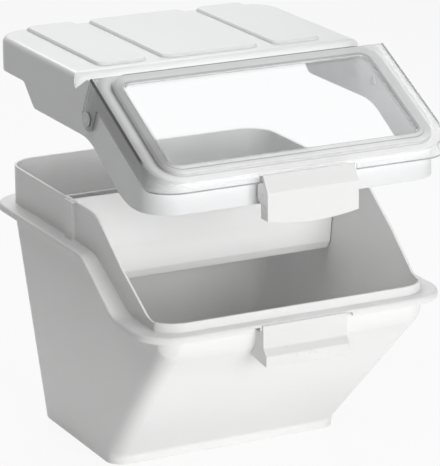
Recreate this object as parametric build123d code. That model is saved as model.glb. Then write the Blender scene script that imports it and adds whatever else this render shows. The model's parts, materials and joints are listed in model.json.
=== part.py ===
from build123d import *
import os
from math import atan2, cos, radians, sin, tan

# Shelf ingredient bin: a moulded tub with a low scoop mouth, a lift-off lid and a clear hinged flap.
# Millimetres. The origin is the centre of the base, +Z is up and the scoop mouth faces -Y.
# The lid pieces are modelled on their seat and then raised to the height at which the lid is shown.

# Tub
BASE_WIDTH = 310
BASE_DEPTH = 222
PLINTH_HEIGHT = 11
PLINTH_BEND = 8
WALL = 3
FRONT_BAND = 21
FRONT_BEND = 35
FRONT_EDGE_ROUND = 21
REAR_EDGE_ROUND = 30

# Collar that stands up inside the rim
COLLAR_WIDTH = 362
COLLAR_DEPTH = 439
COLLAR_REAR = 142
COLLAR_CORNER = 38
COLLAR_RISE = 48
FRONT_LIP_RISE = 11
COLLAR_SLOPE_START = -131
COLLAR_SLOPE_END = -263
COLLAR_TOP_BEND = 60
COLLAR_LIP_BEND = 30

# Rim: level along the back and sides, falling to a lower level round the front
RIM_SIDE_REACH = 19
RIM_FRONT_REACH = 15
RIM_REAR_REACH = 16
RIM_CORNER = 48
RIM_TOP = 280
RIM_FRONT_TOP = 226
RIM_DROP = 8
RIM_SLOPE_START = -126
RIM_SLOPE_END = -214
RIM_BEND = 40
RIM_EDGE = 3.5

# Baffle that slides into two grooves of the collar
BAFFLE_FRONT = -60
BAFFLE_DEPTH = 26
BAFFLE_TOP_DROP = 1
BAFFLE_HEIGHT = 110.5
BAFFLE_WALL = 2.5
BAFFLE_LEAN = 5
BAFFLE_BAND_HEIGHT = 45.5
BAFFLE_BAND_BEND = 30
BAFFLE_TOE_HEIGHT = 11
BAFFLE_TOE_DEPTH = 6
BAFFLE_TOE_BEND = 5
BAFFLE_FOOT_BEND = 3
BAFFLE_SIDE_GAP = 1
KEY_FRONT = -67.5
KEY_DEPTH = 15
GROOVE_DEPTH = 4.5
GROOVE_GAP = 0.5

# Pull clipped over the front rim
PULL_WIDTH = 110
PULL_WALL = 3
PULL_END_WALL = 2.5
PULL_TOP_MARGIN = 1.5
PULL_PLATE_DROP = 21
PULL_FLARE = 7.5
PULL_FLARE_DROP = 8
PULL_FLARE_BEND = 2
PULL_LIP_HEIGHT = 13
PULL_EDGE = 1
CLIP_WALL = 2.5
CLIP_RISE = 4
NOTCH_WIDTH = 7
NOTCH_HEIGHT = 4
NOTCH_GAP = 2

# Lid cover
LID_WALL = 3
LID_RIB_GAP = 1.5
LID_FRONT_GAP = 4
LID_REAR_GAP = 5
LID_HEADROOM = 19
LID_CORNER = 40
LID_EDGE = 8
SEAT_GAP = 0.5
CHEEK_SLOPE_START = -136
CHEEK_SLOPE_END = -231
CHEEK_BEND = 85
CHEEK_STEP_START = 25
CHEEK_STEP_END = 55
CHEEK_STEP_HEIGHT = 27.5
CHEEK_STEP_BEND = 12
COVER_FRONT = -96
COVER_FRONT_DROP = 19
NOTCH_PEAK = -133
NOTCH_BEND = 4
PANEL_SIDE_WIDTH = 66
PANEL_MIDDLE_WIDTH = 130
PANEL_SPACING = 19
PANEL_HEIGHT = 4
PANEL_FRONT = -78
PANEL_REAR = 145
PANEL_CORNER = 12
PANEL_EDGE = 2.5

# Clear flap and its hinge
FLAP_WALL = 2.5
FLAP_SIDE_GAP = 1.5
FLAP_FRONT_GAP = 15.5
FLAP_REAR = -150
FLAP_REAR_RISE = 5.5
FLAP_FRONT_RISE = 43.5
FLAP_CORNER = 38
FLAP_LIFT_OFF_CHEEK = 2
SKIRT_SIDE_HEIGHT = 26
SKIRT_FRONT_HEIGHT = 13.5
SKIRT_BEND = 25
BORDER_WIDTH = 17
BORDER_SIDE_MARGIN = 17
BORDER_REAR_MARGIN = 1.5
BORDER_FRONT_MARGIN = 10
BORDER_HEIGHT = 3
BORDER_CORNER = 28
BORDER_EDGE = 1
SLOT_WIDTH = 2.5
SLOT_GAP = 1.5
SLOT_HEIGHT = 9
PIVOT_Y = -141
PIVOT_RISE = 26
EAR_RADIUS = 15
EAR_REACH = 28
PIN_RADIUS = 4.5
PIN_CLEARANCE = 0.08
PIN_HEAD_RADIUS = 8.5
PIN_HEAD_HEIGHT = 2.4
PIN_HEAD_GAP = 0.3
PIN_COLLAR_LENGTH = 2.5
PIN_COLLAR_GROWTH = 0.7

# Grip clipped to the front skirt of the flap
GRIP_WIDTH = 118
GRIP_WALL = 3
GRIP_END_WALL = 2.5
GRIP_REACH = 12
GRIP_TOP_DROP = 4.5
GRIP_SLOPE_DROP = 18
GRIP_BROW_BEND = 2
GRIP_EDGE = 1
GRIP_OVERHANG = 13
GRIP_ARCH = 6
GRIP_CROSSBAR_GAP = 5
GRIP_HEEL_RISE = 2
GRIP_HEEL_BEND = 3
GRIP_RIM_GAP = 5
GRIP_PULL_GAP = 2

# Height at which the lid is shown above its seat
LID_RAISED = 142

# Values that follow from the sizes above
COLLAR_FRONT = COLLAR_REAR - COLLAR_DEPTH
COLLAR_TOP = RIM_TOP + COLLAR_RISE
FRONT_LIP_TOP = RIM_FRONT_TOP + FRONT_LIP_RISE
RIM_WIDTH = COLLAR_WIDTH + 2 * RIM_SIDE_REACH
RIM_FRONT = COLLAR_FRONT - RIM_FRONT_REACH
RIM_REAR = COLLAR_REAR + RIM_REAR_REACH
BAND_FOOT = RIM_FRONT_TOP - RIM_DROP - FRONT_BAND
FRONT_LEAN = atan2(BAND_FOOT - PLINTH_HEIGHT, -COLLAR_FRONT - BASE_DEPTH / 2)
SIDE_DRAFT = (COLLAR_WIDTH - BASE_WIDTH) / 2 / RIM_TOP
REAR_DRAFT = (COLLAR_REAR - BASE_DEPTH / 2) / RIM_TOP
BAFFLE_TOP = COLLAR_TOP - BAFFLE_TOP_DROP
BAFFLE_BOTTOM = BAFFLE_TOP - BAFFLE_HEIGHT
BAFFLE_BAND_TOP = BAFFLE_BOTTOM + BAFFLE_BAND_HEIGHT
LID_WIDTH = COLLAR_WIDTH + 2 * (GROOVE_DEPTH + LID_RIB_GAP + LID_WALL)
LID_FRONT = COLLAR_FRONT - LID_FRONT_GAP - LID_WALL
LID_REAR = COLLAR_REAR + LID_REAR_GAP + LID_WALL
LID_TOP = COLLAR_TOP + LID_HEADROOM + LID_WALL
FLAP_WIDTH = LID_WIDTH + 2 * (FLAP_SIDE_GAP + FLAP_WALL)
FLAP_FRONT = LID_FRONT - FLAP_FRONT_GAP - FLAP_WALL
FLAP_REAR_TOP = LID_TOP + FLAP_REAR_RISE
FLAP_FRONT_TOP = RIM_FRONT_TOP + FLAP_FRONT_RISE
PIVOT_Z = RIM_TOP + PIVOT_RISE
FLAP_SLOPE = atan2(FLAP_REAR_TOP - FLAP_FRONT_TOP, FLAP_REAR - FLAP_FRONT)
FLAP_SKIN = FLAP_WALL / cos(FLAP_SLOPE)
SEAT_SIDE = RIM_TOP + SEAT_GAP
SEAT_FRONT = RIM_FRONT_TOP + SEAT_GAP
SKIRT_BOTTOM = FLAP_FRONT_TOP - SKIRT_FRONT_HEIGHT
GRIP_END_BOTTOM = RIM_FRONT_TOP - GRIP_OVERHANG
GRIP_HEEL = LID_FRONT - GRIP_CROSSBAR_GAP
FAR = 1000
UPWARD = 0.5
SIDEWAYS = 0.8
LEVEL = 0.1


def side_profile(*corners):
    """Closed outline in the YZ plane from (y, z, corner radius) triples, with arcs at the round corners."""
    points = [Vector(y, z) for y, z, radius in corners]
    edges = []
    ends = []
    for place, (y, z, radius) in enumerate(corners):
        corner = points[place]
        back = (points[place - 1] - corner).normalized()
        ahead = (points[(place + 1) % len(points)] - corner).normalized()
        half_angle = radians(back.get_angle(ahead)) / 2
        setback = radius / tan(half_angle)
        start = corner + back * setback
        end = corner + ahead * setback
        if radius > 0:
            middle = corner + (back + ahead).normalized() * (radius / sin(half_angle) - radius)
            edges.append(ThreePointArc(start, middle, end))
        ends.append((start, end))
    for place, (start, end) in enumerate(ends):
        edges.append(Line(ends[place - 1][1], start))
    return Plane.YZ * make_face(edges)


def across(profile, width=2 * FAR):
    """Side profile carried the given width across the bin."""
    return extrude(profile, amount=width / 2, both=True)


def both_ends(profile, outer, thickness):
    """Two plates of a side profile whose outer faces lie at plus and minus outer."""
    plate = extrude(profile, amount=thickness)
    return Pos(outer - thickness, 0, 0) * plate + Pos(-outer, 0, 0) * plate


def plan_prism(width, front, rear, corner):
    """Tall rounded rectangle seen from above."""
    outline = Pos(0, (front + rear) / 2, -FAR) * RectangleRounded(width, rear - front, corner)
    return extrude(outline, amount=2 * FAR)


def brick(x_range, y_range, z_range):
    """Rectangular block between pairs of limits."""
    size = [high - low for low, high in (x_range, y_range, z_range)]
    middle = [(high + low) / 2 for low, high in (x_range, y_range, z_range)]
    return Pos(*middle) * Box(*size)


# Tub, collar and rim


def corner_edges(block, end):
    """Rising edges of a block's two side walls, at its front end (-1) or its rear end (1)."""
    walls = [face for face in block.faces() if abs(face.normal_at().X) > SIDEWAYS]
    edges = [edge for wall in walls for edge in wall.edges()]
    rising = [edge for edge in edges if abs((edge @ 1).Z - (edge @ 0).Z) > LEVEL]
    return [edge for edge in rising if (edge @ 0.5).Y * end > 0]


def tub_solid(inset, floor):
    """Tub as a solid block: foot, leaning front, drafted walls and round edges inside the collar's outline."""
    top = COLLAR_TOP + WALL
    rise = (inset / sin(FRONT_LEAN) - inset) * tan(FRONT_LEAN)
    foot = -BASE_DEPTH / 2 + inset
    band = COLLAR_FRONT + inset
    rear = BASE_DEPTH / 2 - inset
    side_view = side_profile(
        (foot, floor, 0),
        (foot, PLINTH_HEIGHT + rise, PLINTH_BEND + inset),
        (band, BAND_FOOT + rise, FRONT_BEND - inset),
        (band, top, 0),
        (rear + top * REAR_DRAFT, top, 0),
        (rear + floor * REAR_DRAFT, floor, 0),
    )
    low = BASE_WIDTH / 2 + floor * SIDE_DRAFT - inset
    high = BASE_WIDTH / 2 + top * SIDE_DRAFT - inset
    front_view = make_face(Polyline((-low, floor), (low, floor), (high, top), (-high, top), close=True))
    block = across(side_view) & extrude(Plane.XZ * front_view, amount=FAR, both=True)
    block = fillet(corner_edges(block, -1), FRONT_EDGE_ROUND - inset)
    block = fillet(corner_edges(block, 1), REAR_EDGE_ROUND - inset)
    return block & plan_prism(COLLAR_WIDTH - 2 * inset, band, COLLAR_REAR - inset, COLLAR_CORNER - inset)


def below_collar_line():
    """Everything under the top edge of the collar, seen from the side."""
    return across(
        side_profile(
            (FAR, COLLAR_TOP, 0),
            (COLLAR_SLOPE_START, COLLAR_TOP, COLLAR_TOP_BEND),
            (COLLAR_SLOPE_END, FRONT_LIP_TOP, COLLAR_LIP_BEND),
            (-FAR, FRONT_LIP_TOP, 0),
            (-FAR, -FAR, 0),
            (FAR, -FAR, 0),
        )
    )


def rim_band(height):
    """Strip that hangs the given height below the rim's top line, seen from the side."""
    line = [
        (FAR, RIM_TOP, 0),
        (RIM_SLOPE_START, RIM_TOP, RIM_BEND),
        (RIM_SLOPE_END, RIM_FRONT_TOP, RIM_BEND),
        (-FAR, RIM_FRONT_TOP, 0),
    ]
    underside = [(y, z - height, radius) for y, z, radius in reversed(line)]
    return across(side_profile(*line, *underside))


def rim_outline(inset):
    """Rim seen from above, drawn in by the lip where asked."""
    return plan_prism(RIM_WIDTH - 2 * inset, RIM_FRONT + inset, RIM_REAR - inset, RIM_CORNER - inset)


def top_outline(solid):
    """Outer edges of the faces that look upwards."""
    upward = [face for face in solid.faces() if face.normal_at().Z > UPWARD]
    edges = [edge for face in upward for edge in face.edges()]
    return [edge for edge in edges if sum(edge.is_same(other) for other in edges) == 1]


def rim():
    """Flat rim with a lip hanging from its rounded outer edge."""
    plate = rim_outline(0) & rim_band(WALL)
    lip = (rim_outline(0) - rim_outline(WALL)) & rim_band(RIM_DROP)
    flange = plate + lip
    return fillet(top_outline(flange), RIM_EDGE)


def groove_ribs(outer_inset):
    """Pair of upright blocks: the ribs outside the collar, or with an inset the grooves in them."""
    reach = COLLAR_WIDTH / 2 + GROOVE_DEPTH - outer_inset
    front = KEY_FRONT - GROOVE_GAP - WALL + outer_inset
    rear = KEY_FRONT + KEY_DEPTH + GROOVE_GAP + WALL - outer_inset
    low = RIM_TOP - WALL + outer_inset
    return brick((-reach, reach), (front, rear), (low, COLLAR_TOP + WALL))


def bin_body():
    """Tub, collar, rim and groove ribs as one moulding."""
    shell = tub_solid(0, 0) + groove_ribs(0)
    shell = shell & below_collar_line()
    body = shell + rim()
    body = body - tub_solid(WALL, WALL) - groove_ribs(WALL)
    notch_x = PULL_WIDTH / 2 + NOTCH_GAP
    notch_y = (RIM_FRONT - WALL, RIM_FRONT + WALL)
    notch_z = (RIM_FRONT_TOP - RIM_DROP, RIM_FRONT_TOP - RIM_DROP + NOTCH_HEIGHT)
    for left in (-notch_x - NOTCH_WIDTH, notch_x):
        body = body - brick((left, left + NOTCH_WIDTH), notch_y, notch_z)
    return body


def front_pull():
    """Pull with a flared lower lip and end gussets, clipped over the lip of the front rim."""
    face = RIM_FRONT - PULL_WALL
    lip_face = face - PULL_FLARE
    top = RIM_FRONT_TOP - PULL_TOP_MARGIN
    plate_foot = RIM_FRONT_TOP - RIM_DROP - PULL_PLATE_DROP
    flare_foot = plate_foot - PULL_FLARE_DROP
    lip_foot = flare_foot - PULL_LIP_HEIGHT
    rim_foot = RIM_FRONT_TOP - RIM_DROP
    rim_back = RIM_FRONT + WALL
    inner_rise = PULL_WALL * tan(atan2(PULL_FLARE, PULL_FLARE_DROP) / 2)
    skin = side_profile(
        (face, top, PULL_EDGE),
        (face, plate_foot, PULL_FLARE_BEND + PULL_WALL),
        (lip_face, flare_foot, PULL_FLARE_BEND),
        (lip_face, lip_foot, PULL_EDGE),
        (lip_face + PULL_WALL, lip_foot, PULL_EDGE),
        (lip_face + PULL_WALL, flare_foot + inner_rise, PULL_FLARE_BEND),
        (face + PULL_WALL, plate_foot + inner_rise, PULL_FLARE_BEND),
        (face + PULL_WALL, rim_foot - CLIP_WALL, 0),
        (rim_back + CLIP_WALL, rim_foot - CLIP_WALL, 0),
        (rim_back + CLIP_WALL, rim_foot + CLIP_RISE, PULL_EDGE),
        (rim_back, rim_foot + CLIP_RISE, 0),
        (rim_back, rim_foot, 0),
        (RIM_FRONT, rim_foot, 0),
        (RIM_FRONT, top, 0),
    )
    gusset = side_profile(
        (face + PULL_WALL / 2, rim_foot, 0),
        (face + PULL_WALL / 2, plate_foot, 0),
        (lip_face + PULL_WALL / 2, flare_foot, 0),
        (lip_face + PULL_WALL / 2, lip_foot, 0),
        (COLLAR_FRONT + FRONT_BEND, lip_foot + PULL_FLARE_DROP, 0),
        (COLLAR_FRONT + FRONT_BEND, rim_foot - CLIP_WALL, 0),
        (rim_back, rim_foot - CLIP_WALL, 0),
        (rim_back, rim_foot, 0),
    )
    gussets = both_ends(gusset, PULL_WIDTH / 2, PULL_END_WALL) - tub_solid(0, 0)
    return across(skin, PULL_WIDTH) + gussets


def flow_baffle():
    """Narrow trough that drops into the collar's grooves and parts the fill side from the scoop side."""
    rear = BAFFLE_FRONT + BAFFLE_DEPTH
    wall = BAFFLE_WALL
    outside = side_profile(
        (BAFFLE_FRONT + BAFFLE_LEAN, BAFFLE_TOP, 0),
        (BAFFLE_FRONT, BAFFLE_BAND_TOP, BAFFLE_BAND_BEND),
        (BAFFLE_FRONT, BAFFLE_BOTTOM + BAFFLE_TOE_HEIGHT, BAFFLE_TOE_BEND),
        (BAFFLE_FRONT + BAFFLE_TOE_DEPTH, BAFFLE_BOTTOM, BAFFLE_FOOT_BEND),
        (rear, BAFFLE_BOTTOM, BAFFLE_FOOT_BEND),
        (rear, BAFFLE_TOP, 0),
    )
    inside = side_profile(
        (BAFFLE_FRONT + BAFFLE_LEAN + wall, BAFFLE_TOP + wall, 0),
        (BAFFLE_FRONT + wall, BAFFLE_BAND_TOP, BAFFLE_BAND_BEND - wall),
        (BAFFLE_FRONT + wall, BAFFLE_BOTTOM + BAFFLE_TOE_HEIGHT, BAFFLE_TOE_BEND - wall),
        (BAFFLE_FRONT + BAFFLE_TOE_DEPTH + wall, BAFFLE_BOTTOM + wall, BAFFLE_FOOT_BEND - wall),
        (rear - wall, BAFFLE_BOTTOM + wall, BAFFLE_FOOT_BEND - wall),
        (rear - wall, BAFFLE_TOP + wall, 0),
    )
    top_half = COLLAR_WIDTH / 2 - WALL - BAFFLE_SIDE_GAP
    foot_half = top_half - (RIM_TOP - BAFFLE_BOTTOM) * SIDE_DRAFT

    def front_view(inset):
        outline = [
            (-foot_half + inset, BAFFLE_BOTTOM),
            (foot_half - inset, BAFFLE_BOTTOM),
            (top_half - inset, RIM_TOP),
            (top_half - inset, BAFFLE_TOP + WALL),
            (-top_half + inset, BAFFLE_TOP + WALL),
            (-top_half + inset, RIM_TOP),
        ]
        return extrude(Plane.XZ * make_face(Polyline(*outline, close=True)), amount=FAR, both=True)

    trough = (across(outside) & front_view(0)) - (across(inside) & front_view(wall))
    key_reach = COLLAR_WIDTH / 2 + GROOVE_DEPTH - WALL - GROOVE_GAP
    key_y = (KEY_FRONT, KEY_FRONT + KEY_DEPTH)
    for near, far in ((top_half - wall, key_reach), (-key_reach, wall - top_half)):
        trough = trough + brick((near, far), key_y, (RIM_TOP, BAFFLE_TOP))
    return trough


# Lid cover


def flap_top(y):
    """Height of the flap's upper face at a place along its slope."""
    return FLAP_REAR_TOP + (y - FLAP_REAR) * tan(FLAP_SLOPE)


def cheek_top(y):
    """Height of the cheeks' upper edge under the flap."""
    return flap_top(y) - FLAP_SKIN - FLAP_LIFT_OFF_CHEEK


def cheek_profile():
    """Front of the lid seen from the side: hinge notch, sloping cheek, crossbar and lower edge."""
    shoulder = cheek_top(FLAP_REAR)
    front = LID_FRONT - LID_WALL
    join = COVER_FRONT + LID_EDGE
    return side_profile(
        (join, LID_TOP - COVER_FRONT_DROP, 0),
        (COVER_FRONT, LID_TOP - COVER_FRONT_DROP, NOTCH_BEND),
        (NOTCH_PEAK, shoulder, NOTCH_BEND),
        (FLAP_REAR, shoulder, NOTCH_BEND),
        (front, cheek_top(front), 0),
        (front, SEAT_FRONT, 0),
        (CHEEK_SLOPE_END, SEAT_FRONT, CHEEK_BEND),
        (CHEEK_SLOPE_START, SEAT_SIDE, CHEEK_BEND),
        (join, SEAT_SIDE, 0),
    )


def cover_lower_edge():
    """Everything above the stepped lower edge of the cover, seen from the side."""
    return side_profile(
        (COVER_FRONT, SEAT_SIDE, 0),
        (CHEEK_STEP_START, SEAT_SIDE, CHEEK_STEP_BEND),
        (CHEEK_STEP_END, SEAT_SIDE + CHEEK_STEP_HEIGHT, CHEEK_STEP_BEND),
        (FAR, SEAT_SIDE + CHEEK_STEP_HEIGHT, 0),
        (FAR, FAR, 0),
        (COVER_FRONT, FAR, 0),
    )


def lid_outline(inset):
    """Lid seen from above, drawn in by its wall where asked."""
    return plan_prism(LID_WIDTH - 2 * inset, LID_FRONT + inset, LID_REAR - inset, LID_CORNER - inset)


def cover_block(inset, ease):
    """Solid block of the cover, drawn in by its wall where asked, with its top edges eased."""
    reach = (COVER_FRONT + inset, FAR)
    block = lid_outline(inset) & brick((-FAR, FAR), reach, (0, LID_TOP - inset))
    return ease(top_outline(block), LID_EDGE - inset)


def panel_layout():
    """Centre and width of the three raised panels."""
    offset = (PANEL_MIDDLE_WIDTH + PANEL_SIDE_WIDTH) / 2 + PANEL_SPACING
    return ((-offset, PANEL_SIDE_WIDTH), (0, PANEL_MIDDLE_WIDTH), (offset, PANEL_SIDE_WIDTH))


def panel(centre, width, inset, low, high):
    """Block of one raised panel, drawn in for the hollow below it."""
    depth = PANEL_REAR - PANEL_FRONT - 2 * inset
    outline = RectangleRounded(width - 2 * inset, depth, PANEL_CORNER - inset)
    return extrude(Pos(centre, (PANEL_FRONT + PANEL_REAR) / 2, low) * outline, amount=high - low)


def lid_cover():
    """Cover with raised panels, side cheeks and a front crossbar round the scoop opening."""
    cap = cover_block(0, fillet) & across(cover_lower_edge())
    cheeks = lid_outline(0) & across(cheek_profile())
    rib_foot = LID_TOP - COVER_FRONT_DROP
    scoop_opening = lid_outline(LID_WALL) & brick((-FAR, FAR), (-FAR, COVER_FRONT), (-FAR, FAR))
    under_rib = lid_outline(LID_WALL) & brick((-FAR, FAR), (-FAR, COVER_FRONT + LID_WALL), (-FAR, rib_foot))
    cover = cap + cheeks - cover_block(LID_WALL, chamfer) - scoop_opening - under_rib
    for centre, width in panel_layout():
        raised = panel(centre, width, 0, LID_TOP - LID_WALL, LID_TOP + PANEL_HEIGHT)
        raised = chamfer(top_outline(raised), PANEL_EDGE)
        hollow = panel(centre, width, LID_WALL, LID_TOP - 2 * LID_WALL, LID_TOP + PANEL_HEIGHT - LID_WALL)
        cover = cover + raised - hollow
    bore = Pos(0, PIVOT_Y, PIVOT_Z) * Rot(0, 90, 0) * Cylinder(PIN_RADIUS, LID_WIDTH + 2 * LID_WALL)
    return cover - bore


# Flap, pins and grip


def flap_plane(height):
    """Plane of the flap's upper face, raised square to the slope; its Y runs up towards the hinge."""
    up = (0, -sin(FLAP_SLOPE), cos(FLAP_SLOPE))
    rear_middle = (0, FLAP_REAR + up[1] * height, FLAP_REAR_TOP + up[2] * height)
    return Plane(origin=rear_middle, x_dir=(1, 0, 0), z_dir=up)


def flap_outline(inset):
    """Flap seen from above, with rounded front corners and an open back."""
    return plan_prism(FLAP_WIDTH - 2 * inset, FLAP_FRONT + inset, FAR, FLAP_CORNER - inset)


def flap_profile():
    """Flap and its skirt seen from the side, without the hinge ears."""
    fall = tan(FLAP_SLOPE)
    skirt_knee = FLAP_REAR - (FLAP_REAR_TOP - SKIRT_SIDE_HEIGHT - SKIRT_BOTTOM) / fall
    return side_profile(
        (FLAP_REAR, FLAP_REAR_TOP, 0),
        (FLAP_FRONT, FLAP_FRONT_TOP, 0),
        (FLAP_FRONT, SKIRT_BOTTOM, 0),
        (skirt_knee, SKIRT_BOTTOM, SKIRT_BEND),
        (FLAP_REAR, FLAP_REAR_TOP - SKIRT_SIDE_HEIGHT, 0),
    )


def under_flap():
    """Everything below the flap's skin, seen from the side."""
    front_y = FLAP_FRONT - FLAP_CORNER
    rear_y = FLAP_REAR + FLAP_CORNER
    return across(
        side_profile(
            (rear_y, flap_top(rear_y) - FLAP_SKIN, 0),
            (front_y, flap_top(front_y) - FLAP_SKIN, 0),
            (front_y, -FAR, 0),
            (rear_y, -FAR, 0),
        )
    )


def hinge_ear():
    """Side plate that runs from the flap's rear corner down to a round lobe at the pivot."""
    lobe = Pos(PIVOT_Y, PIVOT_Z) * Circle(EAR_RADIUS)
    shoulder = Line((FLAP_REAR, FLAP_REAR_TOP), (FLAP_REAR - EAR_REACH, flap_top(FLAP_REAR - EAR_REACH)))
    hole = Pos(PIVOT_Y, PIVOT_Z) * Circle(PIN_RADIUS + PIN_CLEARANCE)
    return Plane.YZ * (make_hull([*lobe.edges(), shoulder]) - hole)


def border_ring(inset, low, high):
    """Raised border round the window, between two heights over the flap's upper face."""
    length = (FLAP_REAR - FLAP_FRONT) / cos(FLAP_SLOPE)
    near = -BORDER_REAR_MARGIN - inset
    far = -length + BORDER_FRONT_MARGIN + inset
    width = FLAP_WIDTH - 2 * BORDER_SIDE_MARGIN - 2 * inset
    ring_width = BORDER_WIDTH - 2 * inset
    middle = Pos(0, (near + far) / 2)
    outer = RectangleRounded(width, near - far, BORDER_CORNER - inset)
    inner_corner = BORDER_CORNER - inset - ring_width
    inner = RectangleRounded(width - 2 * ring_width, near - far - 2 * ring_width, inner_corner)
    return extrude(flap_plane(low) * (middle * (outer - inner)), amount=high - low)


def front_flap():
    """Clear tray: sloping plate with a raised border, a skirt on three sides and two hinge ears."""
    tray = flap_outline(0) & across(flap_profile())
    tray = tray - (flap_outline(FLAP_WALL) & under_flap())
    border = border_ring(0, -FLAP_WALL / 2, BORDER_HEIGHT)
    border = chamfer(top_outline(border), BORDER_EDGE)
    ears = both_ends(hinge_ear(), FLAP_WIDTH / 2, FLAP_WALL)
    hollow = border_ring(FLAP_WALL, -2 * FLAP_WALL, BORDER_HEIGHT - FLAP_WALL)
    flap = tray + border - hollow + ears
    slot_y = (FLAP_FRONT - FLAP_WALL, FLAP_FRONT + 2 * FLAP_WALL)
    slot_z = (SKIRT_BOTTOM - FLAP_WALL, SKIRT_BOTTOM + SLOT_HEIGHT)
    slot_x = GRIP_WIDTH / 2 + SLOT_GAP
    for left in (-slot_x - SLOT_WIDTH, slot_x):
        flap = flap - brick((left, left + SLOT_WIDTH), slot_y, slot_z)
    hole = Pos(0, PIVOT_Y, PIVOT_Z) * Rot(0, 90, 0) * Cylinder(PIN_RADIUS + PIN_CLEARANCE, 2 * FAR)
    return flap - hole


def hinge_pin(side):
    """Headed snap pin: head outside the ear, shank through ear and cheek, small collar inside."""
    head_base = FLAP_WIDTH / 2 + PIN_HEAD_GAP
    cheek_inside = LID_WIDTH / 2 - LID_WALL
    tip = cheek_inside - PIN_COLLAR_LENGTH
    half_section = Polyline(
        (tip, 0),
        (tip, PIN_RADIUS + PIN_COLLAR_GROWTH),
        (cheek_inside, PIN_RADIUS + PIN_COLLAR_GROWTH),
        (cheek_inside, PIN_RADIUS),
        (head_base, PIN_RADIUS),
        (head_base, PIN_HEAD_RADIUS),
        (head_base + PIN_HEAD_HEIGHT, PIN_HEAD_RADIUS),
        (head_base + PIN_HEAD_HEIGHT, 0),
        close=True,
    )
    pin = Pos(0, PIVOT_Y, PIVOT_Z) * revolve(make_face(half_section), Axis.X)
    return pin if side > 0 else mirror(pin, Plane.YZ)


def flap_grip():
    """Hollow grip with a sloped top and an arched lower edge, clipped over the flap's front skirt."""
    face = FLAP_FRONT - GRIP_REACH
    top = FLAP_FRONT_TOP - GRIP_TOP_DROP
    brow = top - GRIP_SLOPE_DROP
    skirt_back = FLAP_FRONT + FLAP_WALL
    clip_foot = SKIRT_BOTTOM - CLIP_WALL
    inner_brow = brow - GRIP_WALL * tan(atan2(GRIP_REACH, GRIP_SLOPE_DROP) / 2)
    skin = side_profile(
        (FLAP_FRONT, top, 0),
        (face, brow, GRIP_BROW_BEND),
        (face, GRIP_END_BOTTOM - GRIP_ARCH - GRIP_WALL, 0),
        (face + GRIP_WALL, GRIP_END_BOTTOM - GRIP_ARCH - GRIP_WALL, 0),
        (face + GRIP_WALL, inner_brow, GRIP_EDGE),
        (FLAP_FRONT - CLIP_WALL, top - GRIP_WALL - CLIP_WALL, GRIP_EDGE),
        (FLAP_FRONT - CLIP_WALL, clip_foot, 0),
        (skirt_back + CLIP_WALL, clip_foot, 0),
        (skirt_back + CLIP_WALL, SKIRT_BOTTOM + CLIP_RISE, 0),
        (skirt_back, SKIRT_BOTTOM + CLIP_RISE, 0),
        (skirt_back, SKIRT_BOTTOM, 0),
        (FLAP_FRONT, SKIRT_BOTTOM, 0),
    )
    pull_face = RIM_FRONT - PULL_WALL - GRIP_PULL_GAP
    end = side_profile(
        (FLAP_FRONT - CLIP_WALL, top - GRIP_WALL - CLIP_WALL, 0),
        (face + GRIP_WALL / 2, inner_brow, 0),
        (face + GRIP_WALL / 2, GRIP_END_BOTTOM, 0),
        (pull_face, GRIP_END_BOTTOM, GRIP_EDGE),
        (pull_face, RIM_FRONT_TOP + GRIP_RIM_GAP, GRIP_EDGE),
        (GRIP_HEEL, RIM_FRONT_TOP + GRIP_RIM_GAP + GRIP_HEEL_RISE, GRIP_EDGE),
        (GRIP_HEEL, clip_foot - CLIP_WALL, GRIP_HEEL_BEND),
        (skirt_back + CLIP_WALL, clip_foot + CLIP_WALL / 2, 0),
        (FLAP_FRONT - CLIP_WALL, clip_foot + CLIP_WALL / 2, 0),
    )
    grip = across(skin, GRIP_WIDTH) + both_ends(end, GRIP_WIDTH / 2, GRIP_END_WALL)
    half = GRIP_WIDTH / 2
    bottom = ThreePointArc(
        (-half, GRIP_END_BOTTOM), (0, GRIP_END_BOTTOM - GRIP_ARCH), (half, GRIP_END_BOTTOM)
    )
    sides = Polyline((half, GRIP_END_BOTTOM), (half, FAR), (-half, FAR), (-half, GRIP_END_BOTTOM))
    front_view = Plane.XZ * make_face([bottom, sides])
    return grip & extrude(front_view, amount=FAR, both=True)


FIXED_PIECES = {
    "bin_body": bin_body(),
    "front_pull": front_pull(),
    "flow_baffle": flow_baffle(),
}
LID_PIECES = {
    "lid_cover": lid_cover(),
    "front_flap": front_flap(),
    "flap_handle": flap_grip(),
    "hinge_pin_left": hinge_pin(-1),
    "hinge_pin_right": hinge_pin(1),
}

os.makedirs("parts", exist_ok=True)
for name, piece in FIXED_PIECES.items():
    export_step(piece, f"parts/{name}.step")
for name, piece in LID_PIECES.items():
    export_step(Pos(0, 0, LID_RAISED) * piece, f"parts/{name}.step")
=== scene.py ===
import json
from math import cos, radians, sin

import bpy
from mathutils import Matrix, Vector

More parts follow.
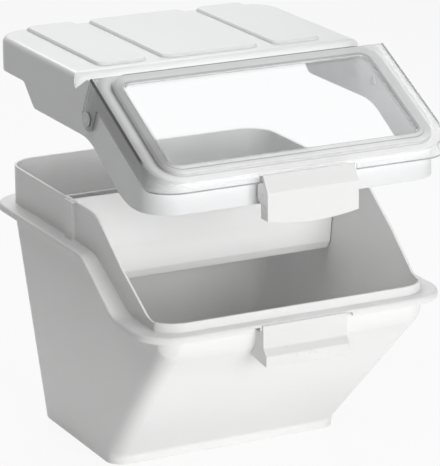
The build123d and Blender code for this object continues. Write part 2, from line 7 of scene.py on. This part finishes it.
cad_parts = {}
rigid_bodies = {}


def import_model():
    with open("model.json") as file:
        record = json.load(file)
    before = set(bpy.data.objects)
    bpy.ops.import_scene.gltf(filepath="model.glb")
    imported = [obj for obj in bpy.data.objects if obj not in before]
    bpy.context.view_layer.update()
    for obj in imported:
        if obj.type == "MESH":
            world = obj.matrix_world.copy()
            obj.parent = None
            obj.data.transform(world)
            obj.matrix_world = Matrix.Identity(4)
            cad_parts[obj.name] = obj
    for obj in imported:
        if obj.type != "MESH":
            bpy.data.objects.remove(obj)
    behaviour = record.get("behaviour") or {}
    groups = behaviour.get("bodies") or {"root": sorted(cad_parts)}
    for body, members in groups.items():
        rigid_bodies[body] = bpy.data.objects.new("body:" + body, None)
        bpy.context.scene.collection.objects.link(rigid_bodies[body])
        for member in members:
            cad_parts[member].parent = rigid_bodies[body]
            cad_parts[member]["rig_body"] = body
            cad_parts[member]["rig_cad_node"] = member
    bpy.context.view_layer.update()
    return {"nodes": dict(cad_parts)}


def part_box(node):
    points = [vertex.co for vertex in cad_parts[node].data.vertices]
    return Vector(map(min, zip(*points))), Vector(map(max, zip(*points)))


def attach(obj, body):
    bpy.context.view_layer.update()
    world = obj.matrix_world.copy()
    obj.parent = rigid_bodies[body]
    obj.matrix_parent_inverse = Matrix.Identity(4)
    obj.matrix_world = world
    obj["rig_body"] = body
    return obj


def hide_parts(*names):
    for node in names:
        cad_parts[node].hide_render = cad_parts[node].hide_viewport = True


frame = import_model()

# Camera: turned and tipped as the bin was photographed, with a long lens
CAMERA_TURN = radians(-26.55)
CAMERA_TIP = radians(16.68)
CAMERA_ROLL = radians(-0.38)
CAMERA_AIM = Vector((-0.0596, -0.202, 0.30906))
CAMERA_DISTANCE = 3.57976
CAMERA_FILM = 36
CAMERA_LENS = 249.6
CAMERA_SHIFT = (0.0108, -0.0030)
CAMERA_REACH = 60

# Colours of the plastics
BIN_WHITE = (0.88, 0.88, 0.875)
LID_WHITE = (0.82, 0.825, 0.83)
# Baffle: the tub's white plastic made lighter, painted light for the light the baffle catches inside the tub
BAFFLE_WHITE_PAINTED_LIGHTER = (0.93, 0.93, 0.925)
GRIP_WHITE = (0.86, 0.86, 0.855)
PIN_GREY = (0.64, 0.645, 0.65)
CLEAR_TINT = (0.965, 0.975, 0.98)
# Painted dark of the refraction lines on the clear flap's edges
PAINTED_LINE_DARK = (0.012, 0.012, 0.013)

# Marks on the moulded plastics: cells per metre, and how strongly each kind shows
FLOW_CELLS = 9
FLOW_STRETCH = (1, 1, 0.4)
FLOW_SHADE = 0.965
HANDLING_CELLS = 60
HANDLING_DEPTH = 0.16
GRAIN_CELLS = 2600
GRAIN_SHARE = 0.2
RIPPLE_CELLS = 26
GRAIN_HEIGHT = 0.0004

# Marks on the clear plastic: wiping marks in its gloss, and slow waves in the sheet
WIPE_CELLS = 420
WIPE_STRETCH = (1, 0.12, 1)
WIPE_DEPTH = 0.03
WAVE_CELLS = 18
WAVE_STRENGTH = 0.05
WAVE_HEIGHT = 0.0006
CLEAR_ROUGHNESS = 0.012
FROST_ROUGHNESS = 0.24
PAINTED_LINE_ROUGHNESS = 0.3
CLEAR_BENDING = 1.5

# Flap: its sloping top and the window in it, in metres, with lengths measured down the slope
FLAP_SLOPE = radians(26.565)
FLAP_REAR = -0.150
FLAP_TOP = 0.4975
FLAP_EDGE = 0.194
FLAP_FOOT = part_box("front_flap")[0][2]
WINDOW_MIDDLE = 0.0919
WINDOW_HALF_WIDTH = 0.160
WINDOW_HALF_LENGTH = 0.0734
WINDOW_CORNER = 0.011

# Border of the window: its painted shade at the window, darkest on the left and lightest at the front,
# standing for what the bent clear border shows, then each step outwards as change, start and end in metres
LEFT_PAINTED_SHADE = 0.34
LEFT_PAINTED_SHADE_STEPS = ((-0.10, 0.010, 0.014), (0.36, 0.016, 0.021), (-0.324, 0.022, 0.034))
RIGHT_PAINTED_SHADE = 0.40
RIGHT_PAINTED_SHADE_STEPS = ((0.30, 0.0025, 0.0045), (0.24, 0.015, 0.020))
REAR_PAINTED_SHADE = 0.42
REAR_PAINTED_SHADE_STEPS = ((0.24, 0.0025, 0.0045),)
FRONT_PAINTED_SHADE = 0.85
FRONT_PAINTED_SHADE_STEPS = ((-0.20, 0.026, 0.029),)

# Painted dark lines along the bends of the front border, for the refraction there: depth, start, end and fade
FRONT_PAINTED_LINES = ((0.45, 0.0003, 0.0016, 0.0005), (0.40, 0.0076, 0.0088, 0.0006), (0.32, 0.0162, 0.0180, 0.0008))

# Frosting of the border, from none at the window, in the same kind of steps
LEFT_FROST = ((0.66, 0.0, 0.006), (-0.26, 0.032, 0.035))
RIGHT_FROST = ((0.66, 0.0, 0.0008), (-0.30, 0.016, 0.024))
REAR_FROST = ((0.66, 0.0, 0.0008),)
FRONT_FROST = ((0.66, 0.0, 0.0008), (-0.40, 0.026, 0.029))

# Painted dark lines on the flap's outer edges, for dark refraction there: how dark each is, and between which
# limits it fades
SIDE_PAINTED_LINE_INNER = (FLAP_EDGE - 0.0030, FLAP_EDGE - 0.0024)
SIDE_PAINTED_LINE_UNDER = (-0.0026, -0.0020)
SIDE_PAINTED_LINE_FRONT = (0.146, 0.158)
SIDE_PAINTED_LINE_RIGHT = 0.35
REAR_PAINTED_LINE = 0.75
REAR_PAINTED_LINE_UNDER = (0.0016, 0.0024)
REAR_PAINTED_LINE_FRONT = (0.0036, 0.0046)
FOOT_PAINTED_LINE = 0.4
FOOT_PAINTED_LINE_TOP = (FLAP_FOOT + 0.0008, FLAP_FOOT + 0.0022)

# Edges of the mouldings: rounding in metres, and the angles that part flat faces, bends and sharp edges
TUB_EDGE = 0.0006
SMALL_EDGE = 0.0004
CLEAR_EDGE = 0.0005
MERGE_SHARE = 0.9
FLAT_ANGLE = radians(0.5)
SHARP_ANGLE = radians(32)
SMOOTH_ANGLE = radians(40)
ROUNDING_STEPS = 2
FACE_WEIGHT = 60

# Studio: a pale floor and a faint even light, both shown nearly white
FLOOR_SIZE = 24
FLOOR_DROP = 0.0005
FLOOR_GREY = (0.85, 0.85, 0.85, 1)
WORLD_LEVEL = 0.07
SHOWN_WHITE = 0.9


class Shade:
    """A shader value: arithmetic on it adds the Math nodes."""

    def __init__(self, finish, socket):
        self.finish = finish
        self.socket = socket

    def math(self, operation, other=0.0, swapped=False):
        """Math node on this value and another."""
        values = {0: other, 1: self} if swapped else {0: self, 1: other}
        return self.finish.node("ShaderNodeMath", {"operation": operation}, values)

    def __add__(self, other):
        return self.math("ADD", other)

    def __radd__(self, other):
        return self.math("ADD", other, True)

    def __sub__(self, other):
        return self.math("SUBTRACT", other)

    def __rsub__(self, other):
        return self.math("SUBTRACT", other, True)

    def __mul__(self, other):
        return self.math("MULTIPLY", other)

    def __rmul__(self, other):
        return self.math("MULTIPLY", other, True)

    def __truediv__(self, other):
        return self.math("DIVIDE", other)

    def rise(self, low, high):
        """Smooth step from 0 below the low value to 1 above the high one."""
        inputs = {"Value": self, "From Min": low, "From Max": high}
        return self.finish.node("ShaderNodeMapRange", {"interpolation_type": "SMOOTHSTEP"}, inputs)

    def band(self, low, high, fade):
        """One between two values, falling to nothing over a fade on either side."""
        return self.rise(low - fade, low) - self.rise(high, high + fade)

    def stepped(self, start, steps):
        """Value that begins at the start and changes by each step in turn."""
        value = start
        for change, low, high in steps:
            value = value + change * self.rise(low, high)
        return value


class Finish:
    """A material, or the world, being put together from nodes."""

    def __init__(self, name, tree=None):
        self.material = None
        if tree is None:
            self.material = bpy.data.materials.new(name)
            self.material.use_nodes = True
            tree = self.material.node_tree
        self.tree = tree
        self.tree.nodes.clear()

    def node(self, kind, settings, inputs, output=0):
        """Adds a node: its settings first, then the values or links of its sockets."""
        made = self.tree.nodes.new(kind)
        for key, value in settings.items():
            setattr(made, key, value)
        for key, value in inputs.items():
            if isinstance(value, Shade):
                self.tree.links.new(value.socket, made.inputs[key])
            else:
                made.inputs[key].default_value = value
        return Shade(self, made.outputs[output]) if made.outputs else None

    def place(self):
        """Place on the piece, in metres."""
        return self.node("ShaderNodeTexCoord", {}, {}, "Object")

    def axis(self, letter):
        """Place along one axis, in metres."""
        return self.node("ShaderNodeSeparateXYZ", {}, {0: self.place()}, letter)

    def noise(self, cells, detail, stretch=(1, 1, 1)):
        """Soft noise between 0 and 1, with so many cells per metre."""
        place = self.node("ShaderNodeMapping", {}, {"Vector": self.place(), "Scale": stretch})
        inputs = {"Vector": place, "Scale": cells, "Detail": detail}
        return self.node("ShaderNodeTexNoise", {}, inputs, "Fac")

    def tint(self, amount, first, second):
        """Colour between two colours."""
        settings = {"data_type": "RGBA", "blend_type": "MIX"}
        inputs = {0: amount, 6: (*first, 1), 7: (*second, 1)}
        return self.node("ShaderNodeMix", settings, inputs, 2)

    def bump(self, height, strength, distance):
        """Normal of a finely uneven surface."""
        inputs = {"Height": height, "Strength": strength, "Distance": distance}
        return self.node("ShaderNodeBump", {}, inputs)

    def plastic(self, **inputs):
        """Principled shader with these sockets."""
        named = {key.replace("_", " "): value for key, value in inputs.items()}
        return self.node("ShaderNodeBsdfPrincipled", {}, named)

    def mixed(self, amount, first, second):
        """Shader between two shaders."""
        return self.node("ShaderNodeMixShader", {}, {0: amount, 1: first, 2: second})

    def done(self, shader):
        """Ends the material in this shader."""
        self.node("ShaderNodeOutputMaterial", {}, {"Surface": shader})
        return self.material


# Plastics


def moulded_plastic(name, colour, roughness, grain):
    """Satin moulded plastic with faint flow marks, handling marks in its gloss and a fine grain."""
    finish = Finish(name)
    flow = finish.noise(FLOW_CELLS, 3, FLOW_STRETCH)
    handled = finish.noise(HANDLING_CELLS, 4)
    fine = finish.noise(GRAIN_CELLS, 1)
    ripple = finish.noise(RIPPLE_CELLS, 1)
    deep = tuple(FLOW_SHADE * channel for channel in colour)
    return finish.done(finish.plastic(
        Base_Color=finish.tint(flow, deep, colour),
        Roughness=roughness + HANDLING_DEPTH * (handled - 0.5),
        Normal=finish.bump(GRAIN_SHARE * fine + ripple, grain, GRAIN_HEIGHT),
    ))


def clear_plastic(name):
    """Clear moulded sheet: a clean window in a frosted border of painted shade, with thin painted dark lines
    for the refraction on its outer edges.
    """
    finish = Finish(name)
    wiped = finish.noise(WIPE_CELLS, 3, WIPE_STRETCH)
    bump = finish.bump(finish.noise(WAVE_CELLS, 1), WAVE_STRENGTH, WAVE_HEIGHT)

    # Place on the flap: across it, down its slope and up from its face
    x = finish.axis("X")
    z = finish.axis("Z")
    forward = FLAP_REAR - finish.axis("Y")
    drop = FLAP_TOP - z
    fall = cos(FLAP_SLOPE) * forward + sin(FLAP_SLOPE) * drop
    height = sin(FLAP_SLOPE) * forward - cos(FLAP_SLOPE) * drop

    # Distance out from the rounded window, and how far each side of the border takes part
    across = x.math("ABSOLUTE") - (WINDOW_HALF_WIDTH - WINDOW_CORNER)
    along = (fall - WINDOW_MIDDLE).math("ABSOLUTE") - (WINDOW_HALF_LENGTH - WINDOW_CORNER)
    side = across.math("MAXIMUM", 0.0)
    end = along.math("MAXIMUM", 0.0)
    reach = (side * side + end * end).math("SQRT")
    off_window = reach - WINDOW_CORNER
    sideways = side * side / (reach * reach)
    endways = end * end / (reach * reach)
    on_left = x.math("LESS_THAN", 0.0)
    left = sideways * on_left
    right = sideways * x.math("GREATER_THAN", 0.0)
    front = endways * fall.math("GREATER_THAN", WINDOW_MIDDLE)
    rear = endways * fall.math("LESS_THAN", WINDOW_MIDDLE)

    # Painted shade of the border, by side, with the painted lines on the front, and its frosting
    front_painted_shade = off_window.stepped(FRONT_PAINTED_SHADE, FRONT_PAINTED_SHADE_STEPS)
    for depth, low, high, fade in FRONT_PAINTED_LINES:
        front_painted_shade = front_painted_shade - depth * off_window.band(low, high, fade)
    painted_shade = front * front_painted_shade
    painted_shade = painted_shade + left * off_window.stepped(LEFT_PAINTED_SHADE, LEFT_PAINTED_SHADE_STEPS)
    painted_shade = painted_shade + right * off_window.stepped(RIGHT_PAINTED_SHADE, RIGHT_PAINTED_SHADE_STEPS)
    painted_shade = painted_shade + rear * off_window.stepped(REAR_PAINTED_SHADE, REAR_PAINTED_SHADE_STEPS)
    frost = front * off_window.stepped(0.0, FRONT_FROST)
    frost = frost + left * off_window.stepped(0.0, LEFT_FROST)
    frost = frost + right * off_window.stepped(0.0, RIGHT_FROST)
    frost = frost + rear * off_window.stepped(0.0, REAR_FROST)

    # Painted dark lines on the outer edges, for dark refraction there, fainter on the right
    side_painted_line = x.math("ABSOLUTE").rise(*SIDE_PAINTED_LINE_INNER) * height.rise(*SIDE_PAINTED_LINE_UNDER)
    side_painted_line = side_painted_line * (1 - fall.rise(*SIDE_PAINTED_LINE_FRONT))
    side_painted_line = side_painted_line * (SIDE_PAINTED_LINE_RIGHT + (1 - SIDE_PAINTED_LINE_RIGHT) * on_left)
    rear_painted_line = REAR_PAINTED_LINE * height.rise(*REAR_PAINTED_LINE_UNDER) * (1 - fall.rise(*REAR_PAINTED_LINE_FRONT))
    foot_painted_line = FOOT_PAINTED_LINE * (1 - z.rise(*FOOT_PAINTED_LINE_TOP))
    painted_lines = side_painted_line.math("MAXIMUM", rear_painted_line).math("MAXIMUM", foot_painted_line)

    clear = finish.plastic(
        Base_Color=(*CLEAR_TINT, 1),
        Roughness=CLEAR_ROUGHNESS + WIPE_DEPTH * wiped,
        Normal=bump,
        IOR=CLEAR_BENDING,
        Transmission_Weight=1.0,
    )
    # Frosted border, coloured with the painted shade
    frosted = finish.plastic(
        Base_Color=finish.node("ShaderNodeCombineColor", {}, {0: painted_shade, 1: painted_shade, 2: painted_shade}),
        Roughness=FROST_ROUGHNESS + WIPE_DEPTH * wiped,
        Normal=bump,
    )
    # Dark shader that carries the painted refraction lines
    painted_line_shader = finish.plastic(Base_Color=(*PAINTED_LINE_DARK, 1), Roughness=PAINTED_LINE_ROUGHNESS)
    return finish.done(finish.mixed(painted_lines, finish.mixed(frost, clear, frosted), painted_line_shader))


# Pieces: copies of the solids with whole faces, smooth bends and rounded edges


def finished_copy(node, name, edge):
    """A copy of a solid, merged, with its flat faces made whole and its sharp edges rounded."""
    bpy.ops.object.select_all(action="DESELECT")
    piece = frame["nodes"][node].copy()
    piece.data = piece.data.copy()
    piece.name = name
    piece.data.name = name
    piece.parent = None
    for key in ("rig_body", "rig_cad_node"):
        if key in piece:
            del piece[key]
    bpy.context.scene.collection.objects.link(piece)
    piece.select_set(True)
    bpy.context.view_layer.objects.active = piece
    bpy.ops.object.mode_set(mode="EDIT")
    bpy.ops.mesh.select_all(action="SELECT")
    bpy.ops.mesh.remove_doubles(threshold=edge * MERGE_SHARE)
    bpy.ops.mesh.dissolve_limited(angle_limit=FLAT_ANGLE)
    bpy.ops.object.mode_set(mode="OBJECT")
    rounding = piece.modifiers.new("rounding", "BEVEL")
    rounding.width = edge
    rounding.segments = ROUNDING_STEPS
    rounding.limit_method = "ANGLE"
    rounding.angle_limit = SHARP_ANGLE
    rounding.use_clamp_overlap = False
    rounding.miter_outer = "MITER_ARC"
    bpy.ops.object.modifier_apply(modifier=rounding.name)
    bpy.ops.object.shade_smooth_by_angle(angle=SMOOTH_ANGLE)
    weights = piece.modifiers.new("weights", "WEIGHTED_NORMAL")
    weights.keep_sharp = True
    weights.weight = FACE_WEIGHT
    bpy.ops.object.modifier_apply(modifier=weights.name)
    return piece


def put_on(piece, node, body, material):
    """The finished piece takes the solid's place, rides on its body and gets its material."""
    piece.data.materials.clear()
    piece.data.materials.append(material)
    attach(piece, body)
    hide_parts(node)


bin_plastic = moulded_plastic("bin_white_polypropylene", BIN_WHITE, roughness=0.36, grain=0.10)
baffle_plastic_painted_lighter = moulded_plastic("baffle_white_painted_lighter_polypropylene", BAFFLE_WHITE_PAINTED_LIGHTER, roughness=0.36, grain=0.10)
lid_plastic = moulded_plastic("lid_white_plastic", LID_WHITE, roughness=0.33, grain=0.08)
grip_plastic = moulded_plastic("grip_white_plastic", GRIP_WHITE, roughness=0.30, grain=0.06)
pin_plastic = moulded_plastic("pin_grey_plastic", PIN_GREY, roughness=0.25, grain=0.05)
flap_plastic = clear_plastic("clear_polycarbonate")

MOULDINGS = (
    ("bin_body", "tub", "bin", "white_plastic", bin_plastic, TUB_EDGE),
    ("front_pull", "tub_pull", "bin", "white_plastic", grip_plastic, SMALL_EDGE),
    ("flow_baffle", "baffle", "baffle", "white_plastic", baffle_plastic_painted_lighter, SMALL_EDGE),
    ("lid_cover", "cover", "lid", "lid_plastic", lid_plastic, TUB_EDGE),
    ("front_flap", "clear_flap", "flap", "clear_plastic", flap_plastic, CLEAR_EDGE),
    ("flap_handle", "flap_grip", "flap", "white_plastic", grip_plastic, SMALL_EDGE),
    ("hinge_pin_left", "left_pin", "lid", "pin_plastic", pin_plastic, SMALL_EDGE),
    ("hinge_pin_right", "right_pin", "lid", "pin_plastic", pin_plastic, SMALL_EDGE),
)
for node, name, body, slot, material, edge in MOULDINGS:
    piece = finished_copy(node, name, edge)
    put_on(piece, node, body, material)
bpy.data.objects["clear_flap"].visible_shadow = False


# Floor, lights and camera


def seen_directly(finish):
    """One for what the eye sees, also in gloss and clear plastic, and nothing for light on dull surfaces."""
    seen = finish.node("ShaderNodeLightPath", {}, {}, "Is Camera Ray")
    for way in ("Is Glossy Ray", "Is Transmission Ray"):
        seen = seen.math("MAXIMUM", finish.node("ShaderNodeLightPath", {}, {}, way))
    bounces = finish.node("ShaderNodeLightPath", {}, {}, "Diffuse Depth")
    return seen * bounces.math("LESS_THAN", 0.5)


def studio_floor():
    """Plain pale floor that keeps a faint shadow."""
    bpy.ops.object.select_all(action="DESELECT")
    bpy.ops.mesh.primitive_plane_add(size=FLOOR_SIZE, location=(0, 0, -FLOOR_DROP))
    floor = bpy.context.object
    floor.name = "floor"
    finish = Finish("pale_floor")
    lit = finish.node("ShaderNodeBsdfDiffuse", {}, {"Color": FLOOR_GREY})
    white = finish.node("ShaderNodeEmission", {}, {"Strength": 1.0})
    floor.data.materials.append(finish.done(finish.mixed(SHOWN_WHITE * seen_directly(finish), lit, white)))


def studio_world():
    """Faint even light all round, nearly white where it is seen."""
    world = bpy.data.worlds.new("studio")
    bpy.context.scene.world = world
    world.use_nodes = True
    finish = Finish("studio", world.node_tree)
    strength = WORLD_LEVEL + (SHOWN_WHITE - WORLD_LEVEL) * seen_directly(finish)
    sky = finish.node("ShaderNodeBackground", {}, {"Color": (1, 1, 1, 1), "Strength": strength})
    finish.node("ShaderNodeOutputWorld", {}, {"Surface": sky})


def softbox(name, place, aim, size, watts, mirrored=False):
    """Soft rectangular lamp turned towards a point, seen in gloss only where it is to be mirrored."""
    lamp = bpy.data.lights.new(name, "AREA")
    lamp.shape = "RECTANGLE"
    lamp.size, lamp.size_y = size
    lamp.energy = watts
    held = bpy.data.objects.new(name, lamp)
    held.location = place
    held.rotation_euler = (Vector(aim) - Vector(place)).to_track_quat("-Z", "Y").to_euler()
    held.visible_camera = mirrored
    held.visible_glossy = mirrored
    bpy.context.scene.collection.objects.link(held)


def photo_camera():
    """Camera at the photograph's viewing angle."""
    back = Vector((
        sin(CAMERA_TURN) * cos(CAMERA_TIP),
        -cos(CAMERA_TURN) * cos(CAMERA_TIP),
        sin(CAMERA_TIP),
    ))
    level = Vector((cos(CAMERA_TURN), sin(CAMERA_TURN), 0))
    upright = back.cross(level)
    right = level * cos(CAMERA_ROLL) + upright * sin(CAMERA_ROLL)
    up = upright * cos(CAMERA_ROLL) - level * sin(CAMERA_ROLL)
    data = bpy.data.cameras.new("photo_camera")
    data.sensor_fit = "HORIZONTAL"
    data.sensor_width = CAMERA_FILM
    data.lens = CAMERA_LENS
    data.shift_x, data.shift_y = CAMERA_SHIFT
    data.clip_end = CAMERA_REACH
    camera = bpy.data.objects.new("photo_camera", data)
    turn = Matrix((right, up, back)).transposed().to_4x4()
    camera.matrix_world = Matrix.Translation(CAMERA_AIM + back * CAMERA_DISTANCE) @ turn
    bpy.context.scene.collection.objects.link(camera)
    bpy.context.scene.camera = camera


studio_floor()
studio_world()
softbox("top_softbox", place=(0.45, 0.05, 1.75), aim=(0.1, 0.05, 0.3), size=(1.2, 1.2), watts=4.5)
softbox("left_softbox", place=(-0.7, 0.0, 1.7), aim=(-0.1, 0, 0.3), size=(0.9, 0.9), watts=5.6, mirrored=True)
softbox("rear_softbox", place=(0.5, 1.7, 2.0), aim=(0, -0.1, 0.3), size=(1.4, 1.4), watts=23, mirrored=True)
softbox("front_softbox", place=(0.2, -2.6, 0.66), aim=(0, -0.1, 0.25), size=(1.3, 1.1), watts=42)
softbox("floor_card", place=(0, -0.36, 0.035), aim=(0, -0.15, 0.09), size=(0.7, 0.06), watts=0.13)
softbox("left_card", place=(-0.32, -0.03, 0.03), aim=(-0.17, -0.03, 0.03), size=(0.5, 0.05), watts=0.032)
photo_camera()
bpy.context.scene.view_settings.view_transform = "Standard"
